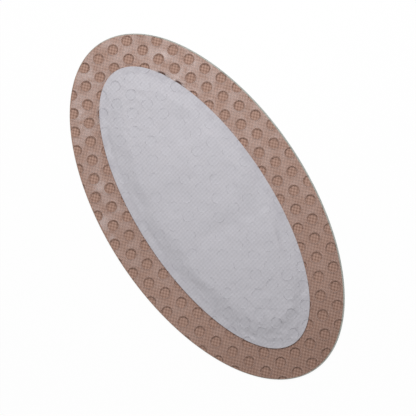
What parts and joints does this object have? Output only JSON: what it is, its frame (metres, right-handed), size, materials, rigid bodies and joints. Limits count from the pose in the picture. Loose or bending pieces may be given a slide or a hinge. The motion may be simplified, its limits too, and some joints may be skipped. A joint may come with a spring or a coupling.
{
  "type": "silicone bordered wound dressing",
  "caption": "Flat oval adhesive dressing: woven backing, raised white absorbent pad and a clear perforated silicone gel sheet over both the border and the pad.",
  "frame": {"origin": "centre of the backing's underside, which the dressing lies on", "axes": "+X along the long axis of the oval, +Y along its short axis, +Z out of the wound side, away from the backing"},
  "size_m": [0.1157, 0.0602, 0.0023],
  "materials": {
    "backing_fabric": "tan plain weave, matte",
    "absorbent_core": "white open foam, matte",
    "pad_facing": "white nonwoven with a fine diagonal emboss, matte",
    "silicone_contact_layer": "clear tacky gel, soft sheen"
  },
  "bodies": {
    "root": {"backing_fabric": "backing_fabric", "absorbent_core": "absorbent_core", "pad_facing": "pad_facing", "silicone_contact_layer": "silicone_contact_layer"}
  },
  "joints": []
}
